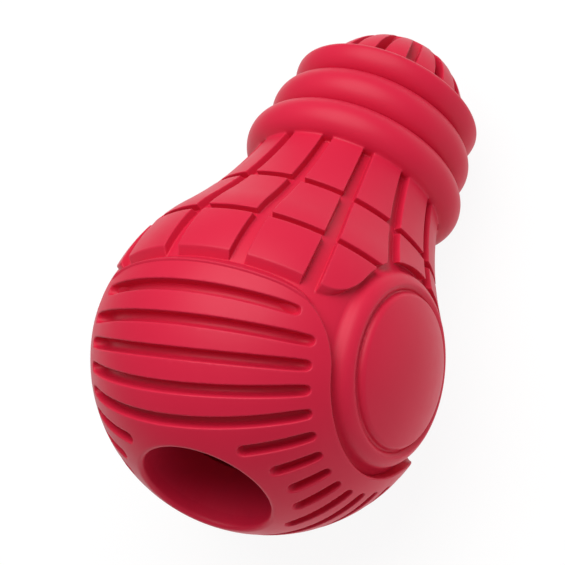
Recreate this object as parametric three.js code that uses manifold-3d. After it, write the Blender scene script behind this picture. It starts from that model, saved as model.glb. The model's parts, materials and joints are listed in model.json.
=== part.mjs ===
// Treat dispensing dog toy: a hollow rubber bulb with a slotted globe, a blocked neck and a ringed end.
// Millimetres, +Z up. The toy lies on its side, as it does on a floor, with its mouth turned to -Y.
// Each piece is first drawn about the bulb's own axis: +Z runs from the globe's centre to the ringed
// end, the mouth is at -Z, the medallions face +X and -X, and the side that lies uppermost is -Y.

import * as THREE from 'three';
import { mergeVertices } from 'three/addons/utils/BufferGeometryUtils.js';
import Module from 'manifold-3d';

const wasm = await Module();
wasm.setup();

// Globe, wall and treat cavity
const globe_radius = 35;
const block_drop = 0.4;
const groove_depth = 1.7;
const wall_thickness = 8.4;
const neck_cavity_radius = 9;
const neck_cavity_end = 40;
const mouth_radius = 13.3;
const lip_width = 1.4;

// Neck: the block faces leave the globe and flare in to a waist inside the rings
const waist_radius = 17.2;
const waist_height = 60;
const core_radius = 13.4;

// Blocks on the neck
const column_count = 14;
const column_groove_width = 2.9;
const row_groove_width = 1.5;
const row_groove_heights = [12.6, 26.3];
const block_foot_height = 1;
const block_ramp_run = 1.1;
const block_corner_radius = 5;

// Chew band: the raised pad that wraps the globe from the upper side, past the mouth, to the lower side
const band_edge_depth = 2.8;
const band_corner_radius = 10;
const slot_pitch_degrees = 11;
const slots_each_side = 7;
const slot_width = 2.7;
const slot_end_margin = 2.2;
const mouth_margin = 4.4;

// Medallions: a ring round a plain disc on each side of the globe
const medallion_ring_radius = 19.7;
const medallion_ring_width = 2.9;
const medallion_slope_run = 1.05;
const medallion_ridge_drop = 0.5;
const medallion_disc_gap = 0.9;
const medallion_valley = 2.3;
const medallion_edge_round = 0.9;
const medallion_disc_drop = 0.3;
const medallion_turns = { right: Math.PI / 2, left: -Math.PI / 2 };

// Ringed end
const ring_radii = [22.6, 20.8, 19.3];
const ring_names = ['base_ring_large', 'base_ring_middle', 'base_ring_small'];
const ring_tube_radius = 4.3;
const first_ring_height = 44.7;
const last_ring_rise = 1.6;

// End dome with its radial slots, one in line with each groove between the columns of blocks
const dome_radius = 16;
const dome_rise = 12;
const dome_slot_width = 2.2;
const dome_slot_depth = 1.6;
const dome_slot_start_degrees = 28;

// Clearance between pieces that touch, and how far a fused feature runs into what carries it
const seat_gap = 0.3;
const fuse_depth = 0.5;
const past_surface = 5;

// Facets: how far an arc's chord may lie inside it, and the sides of a turned piece
const chord_sag = 0.12;
const turn_segments = 42;
const medallion_segments = 36;
const disc_steps = 3;

// Sizes that follow from the ones above
const block_radius = globe_radius - block_drop;
const field_radius = block_radius - groove_depth;
const seat_radius = field_radius + seat_gap;
const cavity_radius = field_radius - wall_thickness;
const lip_radius = mouth_radius + lip_width;
const medallion_seat_radius = medallion_ring_radius + medallion_valley;
const ring_pitch = 2 * ring_tube_radius + seat_gap;
const neck_top = first_ring_height - ring_tube_radius - seat_gap;
const ring_heights = ring_radii.map((_, i) => first_ring_height + i * ring_pitch);
const ring_rises = ring_radii.map((_, i) => (i < ring_radii.length - 1 ? ring_tube_radius : last_ring_rise));
const core_top = ring_heights.at(-1) + ring_rises.at(-1);
const dome_base = core_top + seat_gap;

// The flare is an arc that touches the globe of block faces and the waist
const flare_radius =
  (waist_radius ** 2 + waist_height ** 2 - block_radius ** 2) / (2 * (block_radius - waist_radius));
const flare_centre = waist_radius + flare_radius;
const flare_latitude = Math.atan2(waist_height, flare_centre);

// Height on a sphere about the globe's centre, at a distance from its axis
function sphereHeight(radius, distance) {
  return Math.sqrt(radius ** 2 - distance ** 2);
}

// Points on an arc from one angle to another, about a centre
function arc(radius, from, to, centre_x = 0, centre_y = 0) {
  const points = [];
  const step = 2 * Math.acos(1 - chord_sag / radius);
  const steps = Math.ceil(Math.abs(to - from) / step);
  for (let i = 0; i <= steps; i++) {
    const angle = from + ((to - from) * i) / steps;
    points.push([centre_x + radius * Math.cos(angle), centre_y + radius * Math.sin(angle)]);
  }
  return points;
}

// The bulb's outer line, sunk below the block faces by a depth, between two heights
function bulbLine(depth, lowest, highest) {
  const radius = block_radius - depth;
  const hollow = flare_radius + depth;
  const globe = arc(radius, Math.asin(lowest / radius), flare_latitude);
  const start = Math.PI + flare_latitude;
  const end = Math.PI + Math.asin((waist_height - highest) / hollow);
  return [...globe, ...arc(hollow, start, end, flare_centre, waist_height).slice(1)];
}

// A solid of revolution about Z from points of radius and height
function turned(points, segments = turn_segments) {
  const geometry = new THREE.LatheGeometry(points.map(([x, y]) => new THREE.Vector2(x, y)), segments);
  return geometry.rotateX(Math.PI / 2);
}

function turnedRing(points, segments) {
  return turned([...points, points[0]], segments);
}

// A flat outline pushed along Z, half to each side
function slab(points, thickness) {
  const shape = new THREE.Shape(points.map(([x, y]) => new THREE.Vector2(x, y)));
  const geometry = new THREE.ExtrudeGeometry(shape, { depth: thickness, bevelEnabled: false });
  return geometry.translate(0, 0, -thickness / 2);
}

// Joins the vertices of a closed mesh and makes it a solid that can be cut
function solid(geometry) {
  const bare = geometry.clone();
  bare.deleteAttribute('normal');
  bare.deleteAttribute('uv');
  const merged = mergeVertices(bare);
  const triangles = [];
  for (let i = 0; i < merged.index.count; i += 3) {
    const [a, b, c] = [0, 1, 2].map((k) => merged.index.getX(i + k));
    if (a !== b && b !== c && c !== a) triangles.push(a, b, c);
  }
  const vertProperties = merged.attributes.position.array;
  return new wasm.Manifold(new wasm.Mesh({ numProp: 3, vertProperties, triVerts: new Uint32Array(triangles) }));
}

function geometryOf(cut_solid) {
  const mesh = cut_solid.getMesh();
  const geometry = new THREE.BufferGeometry();
  geometry.setAttribute('position', new THREE.BufferAttribute(mesh.vertProperties, 3));
  geometry.setIndex(new THREE.BufferAttribute(mesh.triVerts, 1));
  geometry.computeVertexNormals();
  return geometry;
}

function rubberMesh(name, geometry) {
  const material = new THREE.MeshStandardMaterial({ color: 0xc81e3a, roughness: 0.5, metalness: 0 });
  const mesh = new THREE.Mesh(geometry, material);
  mesh.name = name;
  return mesh;
}

// Everything outside a raised area, seen along X: past a straight edge, and inside the medallion's seat.
// The area's two corners are rounded. Side is 1 for an area above the edge and -1 for one below it.
function outsideArea(edge_height, corner_radius, side) {
  const reach = 2 * globe_radius;
  const centre_z = edge_height + corner_radius;
  const centre_y = Math.sqrt((medallion_seat_radius + corner_radius) ** 2 - centre_z ** 2);
  const bearing = Math.atan2(centre_z, centre_y);
  const corner = arc(corner_radius, Math.PI + bearing, 1.5 * Math.PI, centre_y, centre_z);
  const seat = arc(medallion_seat_radius, Math.PI / 2, bearing);
  const half = [...seat, ...corner.slice(1), [reach, edge_height], [reach, -reach]];
  const mirrored = half.slice(1).reverse().map(([y, z]) => [-y, z]);
  const outline = [...mirrored, ...half].map(([y, z]) => [y, side * z]);
  const geometry = slab(side > 0 ? outline : outline.reverse(), 2 * reach);
  return geometry.rotateX(Math.PI / 2).rotateZ(Math.PI / 2);
}

// Hollow globe and neck, one wall from the mouth to the ringed end, with the blocks standing on it
function hollowBody() {
  const cavity_end = neck_cavity_end - neck_cavity_radius;
  const neck_latitude = Math.acos(neck_cavity_radius / cavity_radius);
  const mouth_latitude = Math.acos(mouth_radius / cavity_radius);
  const mouth_face = -sphereHeight(field_radius, mouth_radius);
  const wall = [
    ...arc(neck_cavity_radius, Math.PI / 2, 0, 0, cavity_end),
    ...arc(cavity_radius, neck_latitude, -mouth_latitude),
    ...bulbLine(groove_depth, mouth_face, neck_top),
    [core_radius, neck_top],
    [core_radius, core_top],
    [0, core_top],
  ];
  let body = solid(turned(wall)).add(neckBlocks());
  for (const turn of Object.values(medallion_turns)) {
    body = body.subtract(solid(medallionSeat().rotateY(turn)));
  }
  return body;
}

// The space over the globe's field that a medallion takes up, where the flare would reach into it
function medallionSeat() {
  const floor = field_radius + seat_gap / 2;
  const floor_end = Math.acos(medallion_seat_radius / floor);
  const top = globe_radius + past_surface;
  const points = arc(floor, Math.PI / 2, floor_end);
  return turned([...points, [medallion_seat_radius, top], [0, top]], medallion_segments);
}

// Three rows of raised blocks, parted by grooves and cut back in an arc round each medallion
function neckBlocks() {
  const reach = 2 * globe_radius;
  const foot = block_foot_height - block_ramp_run;
  const sunk = bulbLine(groove_depth + fuse_depth, foot, neck_top).reverse();
  const layer = [...bulbLine(0, block_foot_height, neck_top), ...sunk];
  let blocks = solid(turnedRing(layer));
  for (let i = 0; i < column_count; i++) {
    const groove = new THREE.BoxGeometry(reach, column_groove_width, 2 * reach).translate(reach / 2, 0, 0);
    blocks = blocks.subtract(solid(groove.rotateZ((i * 2 * Math.PI) / column_count)));
  }
  for (const height of row_groove_heights) {
    const [low, high] = [height - row_groove_width / 2, height + row_groove_width / 2];
    const groove = [[core_radius, low], [reach, low], [reach, high], [core_radius, high]];
    blocks = blocks.subtract(solid(turnedRing(groove)));
  }
  return blocks.subtract(solid(outsideArea(foot, block_corner_radius, 1)));
}

// Distance from the medallion axis at which a slot ends, a margin in from the band's outline
function slotEnd(angle) {
  const corner = band_corner_radius - slot_end_margin;
  const centre_z = -band_edge_depth - band_corner_radius;
  const centre_y = Math.sqrt((medallion_seat_radius + band_corner_radius) ** 2 - centre_z ** 2);
  const bearing = Math.atan2(centre_y, -centre_z);
  const side_end = medallion_seat_radius + slot_end_margin;
  const bearing_gap = Math.abs(angle) - bearing;
  if (bearing_gap <= 0) return side_end;
  const centre = Math.hypot(centre_y, centre_z);
  const along = centre * Math.cos(bearing_gap);
  return along - Math.sqrt(along ** 2 - centre ** 2 + corner ** 2);
}

// A round-ended slot from one X to another, pointing out from the medallion axis at an angle from the mouth
function slotCutter(from, to, angle) {
  const half = slot_width / 2;
  const ends = [
    ...arc(half, -Math.PI / 2, Math.PI / 2, to - half),
    ...arc(half, Math.PI / 2, 1.5 * Math.PI, from + half),
  ];
  const length = globe_radius + past_surface;
  return slab(ends, length).translate(0, 0, -length / 2).rotateX(-angle);
}

// Raised pad with slots that stop short of its edges and of the plain margin round the mouth
function chewBand() {
  const seat_mouth = sphereHeight(seat_radius, mouth_radius);
  const lip_height = sphereHeight(globe_radius, lip_radius);
  const skin = [
    [mouth_radius, -lip_height],
    ...arc(globe_radius, -Math.asin(lip_height / globe_radius), 0),
    ...arc(seat_radius, 0, -Math.asin(seat_mouth / seat_radius)),
  ];
  let band = solid(turnedRing(skin)).subtract(solid(outsideArea(band_edge_depth, band_corner_radius, -1)));
  for (let i = -slots_each_side; i <= slots_each_side; i++) {
    const angle = THREE.MathUtils.degToRad(i * slot_pitch_degrees);
    const end = sphereHeight(globe_radius, slotEnd(angle));
    const offset = globe_radius * Math.sin(Math.abs(angle));
    const clear = mouth_radius + mouth_margin - offset;
    if (clear <= 0) {
      band = band.subtract(solid(slotCutter(-end, end, angle)));
    } else {
      const start = sphereHeight(mouth_radius + mouth_margin, offset);
      band = band.subtract(solid(slotCutter(start, end, angle)));
      band = band.subtract(solid(slotCutter(-end, -start, angle)));
    }
  }
  return band;
}

// Raised ring round a medallion: a steep slope up to a ridge, then a gentle fall towards the disc
function medallionRing() {
  const outer = medallion_ring_radius;
  const inner = outer - medallion_ring_width;
  const ridge = outer - medallion_slope_run;
  const points = [
    [inner, sphereHeight(seat_radius, inner)],
    [outer, sphereHeight(seat_radius, outer)],
    [ridge, sphereHeight(globe_radius, ridge)],
    [inner, sphereHeight(globe_radius - medallion_ridge_drop, inner)],
  ];
  return turnedRing(points, medallion_segments);
}

// Plain domed disc inside the ring
function medallionDisc() {
  const radius = medallion_ring_radius - medallion_ring_width - medallion_disc_gap;
  const round = medallion_edge_round;
  const crest = globe_radius - medallion_disc_drop;
  const points = [];
  for (let i = 0; i <= disc_steps; i++) {
    const distance = (radius * i) / disc_steps;
    points.push([distance, sphereHeight(seat_radius, distance)]);
  }
  points.push([radius, sphereHeight(crest, radius) - round]);
  for (let i = disc_steps; i >= 0; i--) {
    const distance = ((radius - round) * i) / disc_steps;
    points.push([distance, sphereHeight(crest, distance)]);
  }
  return turned(points, medallion_segments);
}

// One fat ring, round outside and flat where it meets its neighbours and the core. The last one is cut
// flat a little above its widest line.
function baseRing(radius, rise) {
  const bore = core_radius + seat_gap;
  const top = Math.asin(rise / ring_tube_radius);
  const tube = arc(ring_tube_radius, -Math.PI / 2, top, radius - ring_tube_radius);
  return turnedRing([[bore, -ring_tube_radius], ...tube, [bore, rise]]);
}

// Domed end with slots that start near its crown and deepen towards its foot
function endDome() {
  const centre = dome_rise - dome_radius;
  const foot_radius = sphereHeight(dome_radius, centre);
  const cap = [[0, 0], ...arc(dome_radius, Math.asin(-centre / dome_radius), Math.PI / 2, 0, centre)];
  let dome = solid(turned(cap));
  const start = THREE.MathUtils.degToRad(dome_slot_start_degrees);
  const start_radius = dome_radius * Math.sin(start);
  const floor_radius = foot_radius - dome_slot_depth;
  const outside = foot_radius + past_surface;
  const slot = [
    [start_radius, centre + dome_radius * Math.cos(start)],
    [floor_radius, 0],
    [floor_radius, -past_surface],
    [outside, -past_surface],
    [outside, dome_rise],
    [start_radius, dome_rise],
  ];
  for (let i = 0; i < column_count; i++) {
    const angle = (i * 2 * Math.PI) / column_count;
    const cutter = slab(slot, dome_slot_width).rotateX(Math.PI / 2).rotateZ(angle);
    dome = dome.subtract(solid(cutter));
  }
  return dome;
}

// The toy lies on its lower blocks and on whichever ring meets the floor first
function lyingTilt() {
  const tilts = ring_heights.map((height, i) => {
    const inset = ring_radii[i] - ring_tube_radius;
    const reach = Math.hypot(height, inset);
    return Math.asin((block_radius - ring_tube_radius) / reach) - Math.atan2(inset, height);
  });
  return Math.min(...tilts);
}

const bulb = new THREE.Group();
bulb.add(rubberMesh('hollow_body', geometryOf(hollowBody())));
bulb.add(rubberMesh('chew_band', geometryOf(chewBand())));

for (const [side, turn] of Object.entries(medallion_turns)) {
  const medallion = new THREE.Group();
  medallion.rotation.y = turn;
  medallion.add(rubberMesh(`medallion_ring_${side}`, medallionRing()));
  medallion.add(rubberMesh(`medallion_disc_${side}`, medallionDisc()));
  bulb.add(medallion);
}

for (const [i, name] of ring_names.entries()) {
  const ring = rubberMesh(name, baseRing(ring_radii[i], ring_rises[i]));
  ring.position.z = ring_heights[i];
  bulb.add(ring);
}

const dome = rubberMesh('end_dome', geometryOf(endDome()));
dome.position.z = dome_base;
bulb.add(dome);

// Lay the bulb down with its mouth to the front, and put the origin under the middle of its box
bulb.rotation.x = -(Math.PI / 2 + lyingTilt());
const toy = new THREE.Group();
toy.add(bulb);
toy.updateMatrixWorld(true);
const box = new THREE.Box3().setFromObject(toy, true);
const middle = box.getCenter(new THREE.Vector3());
bulb.position.set(-middle.x, -middle.y, -box.min.z);

export default toy;
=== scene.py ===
# %% [markdown]
# # A rubber treat toy, skinned from distance formulas
#
# The toy is one moulding of natural rubber: a hollow globe with a mouth for treats, a slotted chew band,
# a medallion on each side, a neck of raised blocks, three fat rings and a slotted dome at the end.
# Every edge on such a moulding is a little round, because rubber doesn't fill a sharp corner of a mould.
# This lesson builds each feature as a formula for the distance to its surface, where rounding an edge is
# one line of arithmetic, and then turns the formula into a mesh.

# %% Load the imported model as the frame
import json
import math
import bpy
import numpy as np
from mathutils import Matrix, Vector


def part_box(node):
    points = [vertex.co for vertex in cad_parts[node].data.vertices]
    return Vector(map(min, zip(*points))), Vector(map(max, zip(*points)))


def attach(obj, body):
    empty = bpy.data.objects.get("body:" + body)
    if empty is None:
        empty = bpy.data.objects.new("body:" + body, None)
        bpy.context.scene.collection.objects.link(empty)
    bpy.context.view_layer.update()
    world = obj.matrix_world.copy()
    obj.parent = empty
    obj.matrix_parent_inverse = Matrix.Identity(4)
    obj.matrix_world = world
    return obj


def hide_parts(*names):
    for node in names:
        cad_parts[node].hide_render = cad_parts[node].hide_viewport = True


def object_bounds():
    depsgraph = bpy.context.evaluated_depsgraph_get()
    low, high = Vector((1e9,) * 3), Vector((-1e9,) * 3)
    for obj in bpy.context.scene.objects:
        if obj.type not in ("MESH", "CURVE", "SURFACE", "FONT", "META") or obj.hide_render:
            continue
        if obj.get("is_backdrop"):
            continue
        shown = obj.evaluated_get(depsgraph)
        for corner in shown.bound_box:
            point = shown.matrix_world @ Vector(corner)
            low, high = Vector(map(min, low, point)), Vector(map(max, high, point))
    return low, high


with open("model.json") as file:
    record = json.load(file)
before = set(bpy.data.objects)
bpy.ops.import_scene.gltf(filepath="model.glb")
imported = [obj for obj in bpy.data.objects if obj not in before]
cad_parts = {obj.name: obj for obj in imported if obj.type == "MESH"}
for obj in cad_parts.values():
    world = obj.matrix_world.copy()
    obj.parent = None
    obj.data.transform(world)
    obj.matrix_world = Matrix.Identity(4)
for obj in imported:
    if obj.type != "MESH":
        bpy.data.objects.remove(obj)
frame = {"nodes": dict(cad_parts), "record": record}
cad_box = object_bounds()
print("frame loaded:", len(frame["nodes"]), "nodes")

# %% [markdown]
# ## The bulb's own axes
#
# The toy lies on its side, tilted a little, so its sizes are easier to give about its own axis.
# The mouth's axis is in the record, and the medallion discs sit on a line through the globe's centre.
# From these two facts comes one matrix that takes millimetres about the bulb's axis to metres in the frame:
# Z runs from the globe's centre to the ringed end, X to the right medallion, and Y to the floor side.

# %% Place the bulb's axes in the frame
MILLIMETRE = 0.001
mouth_mount = frame["record"]["mounts"][0]
bulb_z = -Vector(mouth_mount["axis"]).normalized()
bulb_x = Vector((1, 0, 0))
bulb_y = bulb_z.cross(bulb_x)
disc_low, disc_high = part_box("medallion_disc_right")
globe_centre = Vector((0, (disc_low.y + disc_high.y) / 2, (disc_low.z + disc_high.z) / 2))
bulb_turn = Matrix((bulb_x, bulb_y, bulb_z)).transposed()
print("globe centre at", [round(v / MILLIMETRE, 2) for v in globe_centre], "mm")

# %% [markdown]
# ## Camera
#
# The photograph was taken through a very long lens, so parallel edges stay parallel, and it shows the toy
# turned in the picture. The camera stands over the medallion side, and its roll turns the picture.
# The aim is a little off the globe's centre, so that the whole toy fills the frame.

# %% Set the camera
camera_azimuth = math.radians(62.13)
camera_elevation = math.radians(53.42)
camera_roll = math.radians(50.75)
camera_distance = 1.347
aim_right, aim_up = 2.76 * MILLIMETRE, 14.52 * MILLIMETRE
back = Vector((
    math.sin(camera_azimuth) * math.cos(camera_elevation),
    -math.cos(camera_azimuth) * math.cos(camera_elevation),
    math.sin(camera_elevation),
))
level_right = Vector((math.cos(camera_azimuth), math.sin(camera_azimuth), 0))
level_up = back.cross(level_right)
right = math.cos(camera_roll) * level_right - math.sin(camera_roll) * level_up
up = back.cross(right)
camera_data = bpy.data.cameras.new("studio_camera")
camera_data.sensor_width = 36
camera_data.lens = 439
camera = bpy.data.objects.new("studio_camera", camera_data)
aim = globe_centre + aim_right * right + aim_up * up
turn = Matrix((right, up, back)).transposed()
camera.matrix_world = Matrix.Translation(aim + camera_distance * back) @ turn.to_4x4()
bpy.context.scene.collection.objects.link(camera)
bpy.context.scene.camera = camera
bpy.context.scene.view_settings.view_transform = "Standard"
print("camera at", [round(v, 3) for v in camera.matrix_world.translation], "m")

# %% [markdown]
# ## Moulded natural rubber
#
# The toy is natural rubber, coloured right through and pressed in a steel mould. The mould's fine grain gives
# a satin skin with broad soft highlights, duller than plastic. Mixing leaves faint clouds of a deeper red,
# and chewing rubs the raised edges a little paler.
# The real grain is near 0.1 mm, too fine to show here, so it is drawn at 0.4 mm.

# %% Helpers for materials
def linear(code):
    """An sRGB hex colour as the linear colour that a shader takes."""
    channels = [int(code[i:i + 2], 16) / 255 for i in (1, 3, 5)]
    return [c / 12.92 if c <= 0.04045 else ((c + 0.055) / 1.055) ** 2.4 for c in channels] + [1]


def add_node(tree, kind, inputs=None, **settings):
    """Adds a node, sets it up, and links or fills its inputs."""
    node = tree.nodes.new(kind)
    for name, value in settings.items():
        setattr(node, name, value)
    for name, value in (inputs or {}).items():
        if isinstance(value, bpy.types.NodeSocket):
            tree.links.new(value, node.inputs[name])
        else:
            node.inputs[name].default_value = value
    return node


def new_material(name):
    material = bpy.data.materials.new(name)
    material.use_nodes = True
    material.node_tree.nodes.clear()
    return material, material.node_tree


deep_red, light_red, rubbed_red = linear("#CA1C3B"), linear("#D22141"), linear("#DC4A60")
print("the rubber's deeper red in linear values:", [round(c, 3) for c in deep_red])

# %% Moulded natural rubber
cloud_size, patch_size, grain_size = (size * MILLIMETRE for size in (16, 2.5, 0.4))
rub_share = 0.06
least_rough, most_rough = 0.38, 0.46
grain_strength, grain_height = 0.08, 0.03 * MILLIMETRE


def moulded_natural_rubber():
    material, tree = new_material("moulded_natural_rubber")
    place = add_node(tree, "ShaderNodeTexCoord").outputs["Object"]
    clouds = add_node(tree, "ShaderNodeTexNoise", {"Vector": place, "Scale": 1 / cloud_size, "Detail": 3})
    patches = add_node(tree, "ShaderNodeTexNoise", {"Vector": place, "Scale": 1 / patch_size, "Detail": 2})
    grain = add_node(tree, "ShaderNodeTexNoise", {"Vector": place, "Scale": 1 / grain_size, "Detail": 2})
    edge = add_node(tree, "ShaderNodeAttribute", attribute_name="edge").outputs["Fac"]

    red = add_node(tree, "ShaderNodeMix", {
        "Factor": clouds.outputs["Fac"], "A": deep_red, "B": light_red,
    }, data_type="RGBA")
    rubbed = add_node(tree, "ShaderNodeMath", {0: edge, 1: rub_share}, operation="MULTIPLY", use_clamp=True)
    worn = add_node(tree, "ShaderNodeMix", {
        "Factor": rubbed.outputs[0], "A": red.outputs["Result"], "B": rubbed_red,
    }, data_type="RGBA")
    satin = add_node(tree, "ShaderNodeMapRange", {
        "Value": patches.outputs["Fac"], "To Min": least_rough, "To Max": most_rough,
    })
    skin = add_node(tree, "ShaderNodeBump", {
        "Height": grain.outputs["Fac"], "Strength": grain_strength, "Distance": grain_height,
    })
    surface = add_node(tree, "ShaderNodeBsdfPrincipled", {
        "Base Color": worn.outputs["Result"], "Roughness": satin.outputs["Result"], "IOR": 1.5,
        "Specular IOR Level": 0.2, "Normal": skin.outputs["Normal"],
    })
    add_node(tree, "ShaderNodeOutputMaterial", {"Surface": surface.outputs["BSDF"]})
    return material


rubber = moulded_natural_rubber()
print("material:", rubber.name, "with", len(rubber.node_tree.nodes), "nodes")

# %% [markdown]
# ## Shapes as distances
#
# A shape can be written as a formula that gives, at any point, how far away its surface is: negative inside
# the rubber, zero on the skin, positive outside. The larger of two such formulas keeps what both shapes share,
# and the smaller joins them. A small change to both gives the shared or joined edge a fillet of a set radius,
# as a mould maker would polish it. All sizes in the formulas are millimetres about the bulb's own axes.

# %% Keep, join and cut with rounded edges
def keep_both(a, b, fillet):
    """What two shapes share, with the edge between them rounded to a fillet radius."""
    corner = np.hypot(np.maximum(a + fillet, 0), np.maximum(b + fillet, 0))
    return np.minimum(np.maximum(a, b), -fillet) + corner


def join(a, b, fillet):
    return -keep_both(-a, -b, fillet)


def cut(shape, tool, fillet):
    return keep_both(shape, -tool, fillet)


def ramp(value, low, high):
    """Goes smoothly from 0 at low to 1 at high."""
    share = np.clip((value - low) / (high - low), 0, 1)
    return share * share * (3 - 2 * share)


corner_gap = float(keep_both(0.0, 0.0, 1.0))
print("a 1 mm fillet pulls the skin", round(corner_gap, 3), "mm in from a square corner")

# %% [markdown]
# ## From a formula to a mesh
#
# A grid of points samples the formula, but only near the skin: a coarse grid first finds which blocks of cells
# the skin can reach. Every grid cell that the skin passes through gets one mesh point, and every grid edge
# that it crosses gets one four-sided face. Then each point slides along the formula's slope onto the skin,
# flat areas give up their spare faces, and the slope itself becomes the shading normal.

# %% Sample a formula near its surface
BLOCK = 4
BATCH = 400_000


def in_batches(formula, points):
    values = np.empty(len(points))
    for start in range(0, len(points), BATCH):
        values[start:start + BATCH] = formula(*points[start:start + BATCH].T)
    return values


def sampled(formula, low, high, cell):
    """The formula on a grid of nodes: exact near the surface, and only its sign elsewhere."""
    blocks = np.ceil((high - low) / (BLOCK * cell)).astype(int)
    centres = low + (np.indices(blocks).reshape(3, -1).T + 0.5) * BLOCK * cell
    coarse = in_batches(formula, centres).reshape(blocks)
    close = np.abs(coarse) < 1.5 * BLOCK * cell
    field = np.ones(blocks * BLOCK + 1)
    near = np.zeros(blocks * BLOCK + 1, bool)
    widen = np.ones((BLOCK, BLOCK, BLOCK), bool)
    field[:-1, :-1, :-1][np.kron(coarse < 0, widen)] = -1
    close_cells = np.kron(close, widen)
    for i, j, k in np.ndindex(2, 2, 2):
        span = [slice(s, s + n * BLOCK) for s, n in zip((i, j, k), blocks)]
        near[tuple(span)] |= close_cells
    field[near] = in_batches(formula, low + np.argwhere(near) * cell)
    return field


def test_ball(x, y, z):
    return np.hypot(np.hypot(x, y), z) - 3


ball_low, ball_high, ball_cell = np.full(3, -4.0), np.full(3, 4.0), 0.5
ball = sampled(test_ball, ball_low, ball_high, ball_cell)
print("a test ball of 3 mm fills", int((ball < 0).sum()), "nodes of", ball.size)

# %% Put a point in every cell that the skin crosses
def grid_steps(axis):
    """One step along a grid axis, and one along each of the two axes across it."""
    return [np.eye(3, dtype=int)[(axis + i) % 3] for i in range(3)]


def skin_cells(inside):
    """The cells with corners on both sides of the skin, and a grid with their numbers."""
    shape = np.array(inside.shape) - 1
    corners = np.zeros(shape, np.uint8)
    for offset in np.ndindex(2, 2, 2):
        corners += inside[tuple(slice(o, o + n) for o, n in zip(offset, shape))]
    cells = np.argwhere((corners > 0) & (corners < 8))
    number = np.full(shape, -1)
    number[tuple(cells.T)] = np.arange(len(cells))
    return cells, number


def skin_points(field, cells, cell):
    """The middle of the places where the skin crosses each cell's edges."""
    total, hits = np.zeros((len(cells), 3)), np.zeros((len(cells), 1))
    for axis in range(3):
        along, u, v = grid_steps(axis)
        for side in (0 * u, u, v, u + v):
            start = cells + side
            a, b = field[tuple(start.T)], field[tuple((start + along).T)]
            crossed = (a < 0) != (b < 0)
            share = np.where(crossed, a / np.where(crossed, a - b, 1), 0)
            total += np.where(crossed[:, None], start + share[:, None] * along, 0)
            hits += crossed[:, None]
    return cell * total / hits


ball_cells, ball_number = skin_cells(ball < 0)
ball_points = ball_low + skin_points(ball, ball_cells, ball_cell)
ball_reach = np.linalg.norm(ball_points, axis=1)
print("the test ball's points lie", ball_reach.min().round(2), "to", ball_reach.max().round(2), "mm out")

# %% Net four-sided faces over the points
def skin_faces(inside, number):
    """One face for every grid edge that the skin crosses, turned to face out of the rubber."""
    faces = []
    for axis in range(3):
        _, u, v = grid_steps(axis)
        first = np.moveaxis(inside, axis, 0)
        edges = np.argwhere(np.moveaxis(first[:-1] != first[1:], 0, axis))
        quad = np.stack([number[tuple((edges - s).T)] for s in (u + v, v, 0 * u, u)], 1)
        outward = inside[tuple(edges.T)]
        faces.append(np.where(outward[:, None], quad, quad[:, ::-1]))
    return np.concatenate(faces)


def net(formula, low, high, cell):
    """Points and four-sided faces where the formula is zero."""
    field = sampled(formula, low, high, cell)
    cells, number = skin_cells(field < 0)
    return low + skin_points(field, cells, cell), skin_faces(field < 0, number)


ball_faces = skin_faces(ball < 0, ball_number)
print("the test ball becomes", len(ball_points), "points and", len(ball_faces), "faces")

# %% Slide points onto the skin, and measure slope and edges there
def slope(formula, points, step=0.02):
    columns = []
    for offset in step * np.eye(3):
        rise = in_batches(formula, points + offset) - in_batches(formula, points - offset)
        columns.append(rise / (2 * step))
    return np.stack(columns, 1)


def settle(formula, points, reach, rounds=2):
    for _ in range(rounds):
        uphill = slope(formula, points)
        steep = np.maximum((uphill ** 2).sum(1), 0.5)
        move = np.clip(in_batches(formula, points) / steep, -reach, reach)
        points = points - move[:, None] * uphill
    return points


def edge_amount(formula, points, step=0.4, sharpest=2.5):
    """1 on the crest of a tight edge, 0 on broad faces, -1 in a tight groove."""
    bend = -6 * in_batches(formula, points)
    for offset in step * np.eye(3):
        bend += in_batches(formula, points + offset) + in_batches(formula, points - offset)
    return np.clip(bend / step ** 2 / sharpest, -1, 1)


settled = np.linalg.norm(settle(test_ball, ball_points, ball_cell / 2), axis=1)
print("settled, they lie", settled.min().round(4), "to", settled.max().round(4), "mm out")

# %% Fill a mesh from arrays, and thin out its faces
def raw_mesh(name, points, faces):
    mesh = bpy.data.meshes.new(name)
    mesh.vertices.add(len(points))
    mesh.vertices.foreach_set("co", points.ravel())
    mesh.loops.add(faces.size)
    mesh.loops.foreach_set("vertex_index", faces.ravel())
    mesh.polygons.add(len(faces))
    mesh.polygons.foreach_set("loop_start", np.arange(0, faces.size, faces.shape[1]))
    mesh.update(calc_edges=True)
    return mesh


def thinned(piece, keep):
    """The piece's mesh with only a share of its faces, the flattest merged first."""
    piece.modifiers.new("fewer_faces", "DECIMATE").ratio = keep
    bpy.context.view_layer.update()
    ready = piece.evaluated_get(bpy.context.evaluated_depsgraph_get())
    mesh = bpy.data.meshes.new_from_object(ready)
    piece.modifiers.clear()
    return mesh


print("before thinning, every face has", ball_faces.shape[1], "corners")

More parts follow.
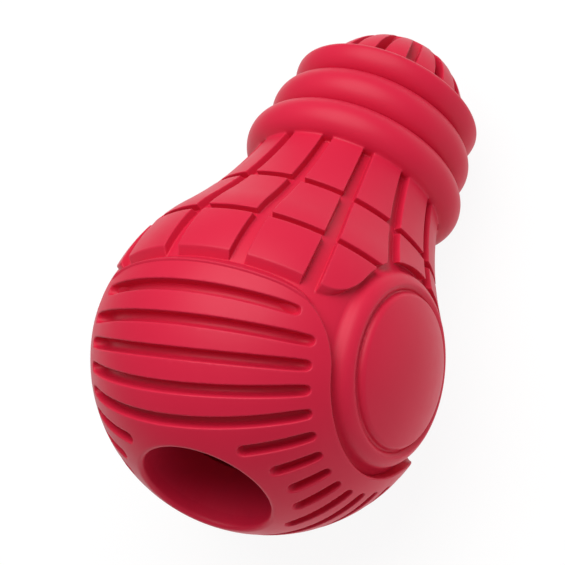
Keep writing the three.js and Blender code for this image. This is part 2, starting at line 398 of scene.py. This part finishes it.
# %% Make a piece of the toy from its formula
def rubber_piece(name, formula, low, high, cell, keep, node):
    """A piece meshed within a box, on cells of a size, keeping a share of the faces, in place of a CAD node."""
    points, faces = net(formula, np.array(low, float), np.array(high, float), cell)
    piece = bpy.data.objects.new(name, raw_mesh(name, settle(formula, points, cell / 2), faces))
    bpy.context.scene.collection.objects.link(piece)
    mesh = thinned(piece, keep)
    points = np.empty(3 * len(mesh.vertices))
    mesh.vertices.foreach_get("co", points)
    points = settle(formula, points.reshape(-1, 3), cell / 2)
    normals = slope(formula, points)
    normals /= np.linalg.norm(normals, axis=1, keepdims=True)
    mesh.attributes.new("edge", "FLOAT", "POINT").data.foreach_set("value", edge_amount(formula, points))
    turn = np.array(bulb_turn)
    in_frame = np.array(globe_centre) + MILLIMETRE * points @ turn.T
    mesh.vertices.foreach_set("co", in_frame.ravel())
    mesh.polygons.foreach_set("use_smooth", np.ones(len(mesh.polygons), bool))
    mesh.normals_split_custom_set_from_vertices(normals @ turn.T)
    mesh.materials.append(rubber)
    piece.data = mesh
    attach(piece, "root")
    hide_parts(node)
    print(name, "has", len(mesh.vertices), "points and", len(mesh.polygons), "faces")
    return piece


print("pieces still to make:", len(frame["nodes"]))

# %% [markdown]
# ## Hollow body
#
# The body is the wall of the whole bulb: a globe that flares in to a neck, hollow for treats. Fourteen columns
# of raised blocks stand on the neck in three rows, parted by grooves, and the lowest row ends in short ramps.
# Along the chew band, the grooves' floor climbs to a fine lip. Inside, a straight bore leads from the mouth
# to a round cavity, which runs on into the neck.
# Cutting every groove with booleans would leave hairline slivers, so one formula describes a single groove,
# and folding the angle round the axis repeats it fourteen times.

# %% The bulb's outline
globe_radius = 34.9
block_radius = 34.6
groove_depth = 1.7
waist_radius, waist_height = 17.2, 60
flare_radius = (
    (waist_radius ** 2 + waist_height ** 2 - block_radius ** 2) / (2 * (block_radius - waist_radius)))
flare_centre = waist_radius + flare_radius
flare_slope = waist_height / flare_centre


def bulb(x, y, z, depth):
    """The globe and the flare above it, sunk below the block faces by a depth."""
    out = np.hypot(x, y)
    globe = np.hypot(out, z) - (block_radius - depth)
    flare = flare_radius + depth - np.hypot(out - flare_centre, z - waist_height)
    return np.where(z < flare_slope * out, globe, flare)


print("the flare's arc has a radius of", round(flare_radius, 2), "mm")

# %% Blocks and grooves on the neck
columns_round = 14
column_pitch = 2 * math.pi / columns_round
column_groove_width, groove_taper, taper_end = 3.7, 0.035, 40
row_groove_heights, row_groove_width, row_fillet = (12.6, 26.3), 1.4, 0.2
block_foot, block_ramp = 1.3, 1.65
block_seat, seat_corner, outline_fillet = 20.9, 4.5, 0.25
groove_lean = 0.15
# The skin leans against the axis, so a millimetre of height counts for less across a row's edge or a foot.
row_share, foot_share = 0.9, 0.72


def from_nearest_column(x, y):
    """The angle round the axis from the nearest groove between two columns."""
    round_axis = np.arctan2(y, x)
    return round_axis - column_pitch * np.round(round_axis / column_pitch)


def block_outline(x, y, z, height):
    """Negative within a block, seen from above the skin. Height is the distance above the grooves' floor."""
    lean = groove_lean * (height - groove_depth)
    column_groove = column_groove_width - groove_taper * np.clip(z, 0, taper_end)
    outline = column_groove / 2 + lean - np.hypot(x, y) * np.abs(np.sin(from_nearest_column(x, y)))
    for groove in row_groove_heights:
        row = row_groove_width / 2 + lean - row_share * np.abs(z - groove)
        outline = keep_both(outline, row, row_fillet)
    foot = foot_share * (block_foot - block_ramp * (1 - height / groove_depth) - z)
    medallion = block_seat + lean - np.hypot(y, z)
    return keep_both(outline, keep_both(foot, medallion, seat_corner), outline_fillet)


print("blocks on the neck:", columns_round * (len(row_groove_heights) + 1), "less those under the medallions")

# %% The grooves' floor and its lip along the chew band
band_edge_depth, band_corner, band_seat = 2.8, 10, 21.1
shoulder_start, shoulder_end = band_seat + 1, band_seat + 7
field_climb, climb_run, lip_run, lip_round = 2.4, 2.45, 0.35, 0.2
band_bed_drop, bed_start, bed_end = 1.0, 1.5, 2.5


def band_outline(y, z):
    """Negative under the chew band, and elsewhere the distance to its edge along the skin."""
    return keep_both(z + band_edge_depth, band_seat - np.hypot(y, z), band_corner)


def field_depth(y, z):
    """How deep the grooves' floor lies. It drops under the band, out of the band's way."""
    to_band = band_outline(y, z)
    climb = field_climb * (np.maximum((climb_run - to_band) / (climb_run - lip_run), 0) - 1)
    lip = np.maximum(field_climb + join(climb, to_band - lip_run, lip_round), 0)
    above_band = ramp(np.hypot(y, z), shoulder_start, shoulder_end)
    return groove_depth - lip * above_band + band_bed_drop * ramp(-to_band, bed_start, bed_end)


print("the lip begins", lip_run, "mm from the band and runs out at", climb_run, "mm")

# %% Hollow body
cavity_radius, mouth_radius, bore_end = 24.5, 13.3, -18.3
neck_cavity_radius, neck_cavity_top = 9, 31
core_fillet, neck_blend, bore_fillet = 2, 4, 0.8
bore_clearance = 0.012
block_skin, block_fillet = 0.03, 0.18
body_top = 43


def treat_cavity(x, y, z):
    out = np.hypot(x, y)
    globe = keep_both(np.hypot(out, z) - cavity_radius, bore_end - z, core_fillet)
    neck = np.hypot(out, np.maximum(z - neck_cavity_top, 0)) - neck_cavity_radius
    bore = out - mouth_radius - bore_clearance
    return join(join(globe, np.maximum(neck, -z), neck_blend), np.maximum(bore, z), bore_fillet)


def body_outside(x, y, z):
    height = bulb(x, y, z, groove_depth)
    blocks = keep_both(bulb(x, y, z, block_skin), block_outline(x, y, z, height), block_fillet)
    return join(bulb(x, y, z, field_depth(y, z)), blocks, block_fillet)


def hollow_body(x, y, z):
    outside = np.maximum(body_outside(x, y, z), z - body_top)
    return np.maximum(outside, -treat_cavity(x, y, z))


rubber_piece(
    "hollow_body_rubber", hollow_body, (-36, -36, -34), (36, 36, 44), cell=0.22, keep=0.25, node="hollow_body")

# %% [markdown]
# ## Chew band
#
# The band is a raised pad that wraps the globe from the upper side, past the mouth, to the lower side. It has
# steep shoulders, a little softer beside the medallions. Dogs chew it, so its slots are rounded at the bottom,
# and their floors rise to the skin at the far ends, where nothing can lodge.
# Its slots all point at the medallions' line, so folding the angle about that line repeats one slot.
# The rounded lip and the first part of the bore belong to the band, so that no joint shows on the lip.

# %% The band's pad
band_inside, under_lip = 30.6, 0.4
pad_lean, pad_fillet, softer_fillet = 0.2, 0.25, 0.2
mouth_fillet = 1.3


def band_pad(x, y, z):
    out, from_medallion = np.hypot(x, y), np.hypot(y, z)
    crest = np.hypot(out, z) - globe_radius
    beside_medallion = 1 - ramp(from_medallion, shoulder_start, shoulder_end)
    outline = band_outline(y, z) - under_lip * (1 - beside_medallion)
    pad = keep_both(crest, outline + pad_lean * crest, pad_fillet + softer_fillet * beside_medallion)
    pad = np.maximum(pad, band_inside - np.hypot(out, z))
    return keep_both(pad, mouth_radius - out, mouth_fillet)


print("the band stands", round(globe_radius - block_radius + groove_depth, 2), "mm above the grooves' floor")

# %% Where the slots begin and end
slot_pitch = math.radians(11)
slots_each_side = 7
slot_margin, slot_trim, mouth_margin = 2.9, 0.3, 4.4


def slot_end(angle):
    """How far a slot reaches towards a medallion, a margin in from the band's outline."""
    corner = band_corner - slot_margin
    corner_z = band_edge_depth + band_corner
    corner_y = math.sqrt((band_seat + band_corner) ** 2 - corner_z ** 2)
    past = max(angle - math.atan2(corner_y, corner_z), 0)
    centre = math.hypot(corner_y, corner_z)
    along = centre * math.cos(past)
    to_axis = band_seat + slot_margin
    if past:
        to_axis = along - math.sqrt(along ** 2 - centre ** 2 + corner ** 2)
    return math.sqrt(globe_radius ** 2 - to_axis ** 2) - slot_trim


def slot_start(angle):
    """Where a slot begins beside the mouth's plain margin. A slot that misses it runs right across."""
    offset = globe_radius * math.sin(angle)
    clear = mouth_radius + mouth_margin
    return math.sqrt(clear ** 2 - offset ** 2) if offset < clear else -globe_radius


slot_ends = np.array([slot_end(i * slot_pitch) for i in range(slots_each_side + 1)])
slot_starts = np.array([slot_start(i * slot_pitch) for i in range(slots_each_side + 1)])
print("slots end", slot_ends.round(1), "mm from the middle")

# %% Chew band
slot_half_width, slot_depth, slot_round, slot_rise = 1.2, 2.6, 0.9, 4.0
slot_lean, slot_edge_fillet = 0.1, 0.25


def band_slots(x, y, z):
    angle = np.arctan2(-y, -z)
    index = np.clip(np.round(angle / slot_pitch), -slots_each_side, slots_each_side).astype(int)
    aside = np.hypot(y, z) * np.sin(angle - index * slot_pitch)
    to_far_end = slot_ends[np.abs(index)] - np.abs(x)
    to_near_end = np.abs(x) - slot_starts[np.abs(index)]
    depth = globe_radius - np.hypot(np.hypot(x, y), z)
    depth = depth + slot_depth * np.maximum(1 - to_far_end / slot_rise, 0) ** 2
    near_end = np.maximum(slot_half_width - to_near_end, 0)
    walls = np.hypot(aside, near_end) - slot_half_width + slot_lean * depth
    return keep_both(walls, depth - slot_depth, slot_round)


def chew_band(x, y, z):
    return cut(band_pad(x, y, z), band_slots(x, y, z), slot_edge_fillet)


rubber_piece("chew_band_rubber", chew_band, (-29, -36, -36), (29, 36, 0), cell=0.3, keep=0.3, node="chew_band")

# %% [markdown]
# ## Medallions
#
# A medallion on each side is a bare domed disc inside a ring. The ring rises in a straight slope to a round
# ridge and falls gently towards the disc, with a narrow groove between the two. Both are drawn by the angle
# from the medallion's axis and the height above the globe's field, so they follow the globe's curve.

# %% A medallion's own measures
field_radius = block_radius - groove_depth
ridge_angle, ridge_radius = math.radians(31.6), 34.95
medallion_root = 1


def medallion_place(x, y, z):
    """Distance along the skin from the ring's ridge, and height above the globe's field."""
    reach = np.sqrt(x * x + y * y + z * z)
    angle = np.arccos(np.clip(x / np.maximum(reach, 1), -1, 1))
    return (angle - ridge_angle) * globe_radius, reach - field_radius


def slope_face(along, height, run, fall):
    """A face that starts at the ridge and falls by an amount over a run."""
    return (fall * along + run * height) / math.hypot(run, fall)


print("the ridge stands", round(ridge_radius - field_radius, 2), "mm above the globe's field")

# %% Medallion ring
ring_outer_start, ring_outer_run, ring_outer_fall = 0.1, 2.6, 1.95
ring_inner_run, ring_inner_fall, ring_inner_lean = 2.0, 0.4, 0.15
ridge_fillet, ring_inner_fillet, ring_foot_fillet = 1.3, 0.9, 0.4
ring_skirt, skirt_sink, under_disc = 4.5, 0.01, 0.2


def medallion_ring(x, y, z):
    """The ring on a thin skirt, sunk a hair below the field so that only the foot's fillet shows."""
    along, height = medallion_place(x, y, z)
    below_ridge = height - (ridge_radius - field_radius)
    outer = slope_face(along - ring_outer_start, below_ridge, ring_outer_run, ring_outer_fall)
    inner = slope_face(-along, below_ridge, ring_inner_run, ring_inner_fall)
    inner_wall = -along - ring_inner_run + ring_inner_lean * below_ridge
    ring = keep_both(keep_both(outer, inner, ridge_fillet), inner_wall, ring_inner_fillet)
    ring = join(ring, height + skirt_sink, ring_foot_fillet)
    inside = np.maximum(-along - ring_inner_run - under_disc, -height - medallion_root)
    return np.maximum(np.maximum(ring, along - ring_skirt), inside)


print("the ring is", round(ring_outer_start + ring_outer_run + ring_inner_run, 1), "mm broad")

# %% Medallion disc
disc_crest, disc_edge, disc_curve = 34.68, math.radians(27.5), 33
gap_depth = 0.9
disc_fillet, gap_fillet = 1.7, 0.15


def medallion_disc(x, y, z):
    """The domed disc on a plate that is the floor of the groove round it."""
    along, height = medallion_place(x, y, z)
    edge = along + (ridge_angle - disc_edge) * globe_radius
    crest = np.hypot(np.hypot(y, z), x - disc_crest + disc_curve) - disc_curve
    plate = np.maximum(crest + gap_depth, along + ring_inner_run)
    disc = join(keep_both(crest, edge, disc_fillet), plate, gap_fillet)
    return np.maximum(disc, -height - medallion_root)


print("the disc is", round(2 * globe_radius * math.sin(disc_edge), 1), "mm across")

# %% Both medallions
def mirrored(formula):
    return lambda x, y, z: formula(-x, y, z)


for side, sign in (("right", 1), ("left", -1)):
    near, far = sorted((sign * 22, sign * 36))
    for part, formula, reach in (("ring", medallion_ring, 22), ("disc", medallion_disc, 17)):
        shape = formula if sign > 0 else mirrored(formula)
        node = f"medallion_{part}_{side}"
        low, high = (near, -reach, -reach), (far, reach, reach)
        rubber_piece(f"{node}_rubber", shape, low, high, cell=0.3, keep=0.35, node=node)

# %% [markdown]
# ## Rings and dome
#
# Three fat rings close the neck, each smaller than the last, and a low dome with radial slots ends the toy.
# A ring is a round-edged puck, and the last one is flat on top, round the dome. The rings touch in deep
# creases, which the mould leaves sharp. The dome's slots are in line with the grooves between the columns.

# %% Three rings
ring_tube = 4.5
ring_heights = {"large": 44.7, "middle": 53.6, "small": 62.5}
ring_radii = {"large": 22.53, "middle": 20.73, "small": 19.23}
neck_fillet, collar_sink, collar_thickness, collar_foot = 0.4, 0.01, 1, 37.5
flat_height, flat_fillet = 64.0, 1.5


def puck(x, y, z, size):
    out = np.hypot(x, y) - ring_radii[size] + ring_tube
    return np.hypot(np.maximum(out, 0), z - ring_heights[size]) - ring_tube


def large_ring(x, y, z):
    """The ring and the fillet that leads down to the neck, on a thin collar hidden in the neck."""
    neck = body_outside(x, y, z)
    collar = np.maximum(neck + collar_sink, z - ring_heights["large"])
    ring = join(puck(x, y, z, "large"), collar, neck_fillet)
    return np.maximum(np.maximum(ring, -neck - collar_thickness), collar_foot - z)


def middle_ring(x, y, z):
    return puck(x, y, z, "middle")


def small_ring(x, y, z):
    return keep_both(puck(x, y, z, "small"), z - flat_height, flat_fillet)


for size, formula in (("large", large_ring), ("middle", middle_ring), ("small", small_ring)):
    reach, height = ring_radii[size] + 1, ring_heights[size]
    low, high = (-reach, -reach, height - 8), (reach, reach, height + 5.5)
    node = f"base_ring_{size}"
    rubber_piece(f"{node}_rubber", formula, low, high, cell=0.32, keep=0.25, node=node)

# %% End dome
dome_radius, dome_top, dome_foot, dome_overlap = 15.97, 76.36, 64.0, 0.5
dome_slot_half_width, dome_slot_depth = 1.1, 3.2
dome_floor_fillet, dome_edge_fillet = 0.3, 0.2
dome_crown = math.radians(28)
dome_centre = dome_top - dome_radius
foot_radius = math.sqrt(dome_radius ** 2 - (dome_foot - dome_centre) ** 2)
slot_top = np.array([dome_radius * math.sin(dome_crown), dome_centre + dome_radius * math.cos(dome_crown)])
slot_foot = np.array([foot_radius - dome_slot_depth, dome_foot])
floor_run = (slot_foot - slot_top) / np.linalg.norm(slot_foot - slot_top)


def end_dome(x, y, z):
    """The dome, with slots whose straight floors run from the crown to the foot."""
    out = np.hypot(x, y)
    crest = np.hypot(out, z - dome_centre) - dome_radius
    walls = np.abs(out * np.sin(from_nearest_column(x, y))) - dome_slot_half_width
    floor = floor_run[1] * (out - slot_top[0]) - floor_run[0] * (z - slot_top[1])
    slotted = cut(crest, keep_both(walls, floor, dome_floor_fillet), dome_edge_fillet)
    return np.maximum(slotted, dome_foot - dome_overlap - z)


rubber_piece("end_dome_rubber", end_dome, (-17, -17, 63), (17, 17, 77.5), cell=0.2, keep=0.35, node="end_dome")

# %% [markdown]
# ## Studio
#
# The toy lies on matt white studio paper that runs out of sight. Its colour is painted light: white near the
# toy, fading to a light grey far away, as if the light fell off there. The camera and the gloss see the paper
# at this painted tone, and it keeps a soft shadow. One wide soft light hangs overhead, a little towards the
# ringed end, a dim room fills the shadows, and the paper throws light back onto the underside.

# %% Matt white paper
# Painted light: the paper is white near the toy and fades to light grey far away, standing in for the light
# falling off.
paper_in_painted_light, paper_in_painted_shade = linear("#FFFFFF"), linear("#CCCCCC")
painted_falloff_start, painted_falloff_end = 0.15, 0.3
seen_share = 0.92
paper_half = 3


def seen_straight(tree):
    """1 where the camera, or a reflection or refraction, looks straight at a surface."""
    path = add_node(tree, "ShaderNodeLightPath")
    gloss = add_node(tree, "ShaderNodeMath", {
        0: path.outputs["Is Camera Ray"], 1: path.outputs["Is Glossy Ray"]}, operation="MAXIMUM")
    seen = add_node(tree, "ShaderNodeMath", {
        0: gloss.outputs[0], 1: path.outputs["Is Transmission Ray"]}, operation="MAXIMUM")
    return seen.outputs[0]


def matt_studio_paper():
    material, tree = new_material("matt_studio_paper")
    place = add_node(tree, "ShaderNodeTexCoord").outputs["Object"]
    away = add_node(tree, "ShaderNodeVectorMath", {0: place}, operation="LENGTH")
    # Painted falloff of light: the paper's colour darkens with distance from the toy.
    painted_falloff = add_node(tree, "ShaderNodeMapRange", {
        "Value": away.outputs["Value"], "From Min": painted_falloff_start, "From Max": painted_falloff_end,
    }, interpolation_type="SMOOTHSTEP")
    painted_tone = add_node(tree, "ShaderNodeMix", {
        "Factor": painted_falloff.outputs["Result"], "A": paper_in_painted_light, "B": paper_in_painted_shade}, data_type="RGBA")
    matt = add_node(tree, "ShaderNodeBsdfDiffuse", {"Color": painted_tone.outputs["Result"]})
    plain = add_node(tree, "ShaderNodeEmission", {"Color": painted_tone.outputs["Result"], "Strength": 1})
    share = add_node(tree, "ShaderNodeMath", {0: seen_straight(tree), 1: seen_share}, operation="MULTIPLY")
    mixed = add_node(tree, "ShaderNodeMixShader", {
        0: share.outputs[0], 1: matt.outputs["BSDF"], 2: plain.outputs["Emission"]})
    add_node(tree, "ShaderNodeOutputMaterial", {"Surface": mixed.outputs["Shader"]})
    return material


corners = [(sx * paper_half, sy * paper_half, 0) for sx, sy in ((-1, -1), (1, -1), (1, 1), (-1, 1))]
paper_mesh = bpy.data.meshes.new("studio_paper")
paper_mesh.from_pydata(corners, [], [(0, 1, 2, 3)])
paper_mesh.materials.append(matt_studio_paper())
paper = bpy.data.objects.new("studio_paper", paper_mesh)
bpy.context.scene.collection.objects.link(paper)
paper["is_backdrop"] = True
print("the paper is", 2 * paper_half, "m square")

# %% Dim room
room_fill = 0.3
world = bpy.data.worlds.new("dim_room")
world.use_nodes = True
world.node_tree.nodes.clear()
sky = add_node(world.node_tree, "ShaderNodeBackground", {"Color": linear("#FFFFFF"), "Strength": room_fill})
add_node(world.node_tree, "ShaderNodeOutputWorld", {"Surface": sky.outputs["Background"]})
bpy.context.scene.world = world
print("the room fills the shadows with", room_fill)

# %% Overhead light
overhead_direction = Vector((0.03, 0.33, 0.94))
overhead_distance, overhead_size, overhead_power = 1.0, 1.15, 12.6
light = bpy.data.lights.new("overhead_light", "AREA")
light.shape = "DISK"
light.size = overhead_size
light.energy = overhead_power
lamp = bpy.data.objects.new("overhead_light", light)
lamp.location = globe_centre + overhead_distance * overhead_direction.normalized()
lamp.rotation_euler = (globe_centre - lamp.location).to_track_quat("-Z", "Y").to_euler()
lamp.visible_camera = False
bpy.context.scene.collection.objects.link(lamp)
print("overhead light of", overhead_power, "W at", [round(v, 2) for v in lamp.location], "m")

# %% Write the sizes and finish
visual_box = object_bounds()
for name, box in (("CAD", cad_box), ("visual", visual_box)):
    print(name, "box in mm:", [[round(v / MILLIMETRE, 3) for v in corner] for corner in box])
